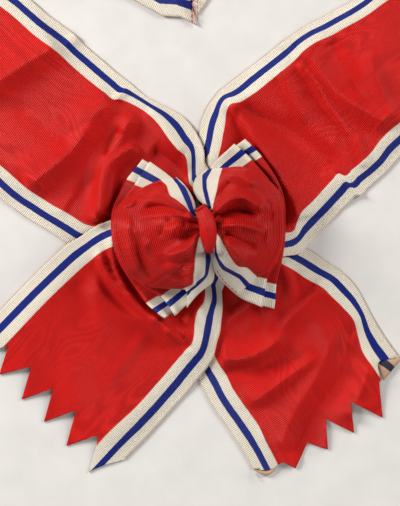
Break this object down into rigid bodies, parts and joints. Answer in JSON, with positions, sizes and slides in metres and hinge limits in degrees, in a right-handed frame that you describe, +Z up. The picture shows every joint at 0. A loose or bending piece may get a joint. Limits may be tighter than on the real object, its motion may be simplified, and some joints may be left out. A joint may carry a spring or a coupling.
{
  "type": "sash of an order",
  "caption": "Wide moire sash ribbon with striped edges, laid flat, with a large bow and zigzag-cut tails.",
  "frame": {"origin": "middle of the laid sash's outline, on the surface it lies on", "axes": "+Z up from the surface; +Y from the tails towards the shoulder seam; +X towards the right-hand band"},
  "size_m": [0.6574, 0.5532, 0.036],
  "materials": {
    "ribbon": "ribbed moire silk with a soft sheen, white, blue and white stripe along each edge",
    "knot_ribbon": "plain red ribbed silk, folded narrow"
  },
  "bodies": {
    "root": {"left_band": "ribbon", "right_band": "ribbon", "left_tail": "ribbon", "right_tail": "ribbon", "bow_back": "ribbon", "bow_middle": "ribbon", "bow_front": "ribbon", "knot": "knot_ribbon"}
  },
  "joints": []
}
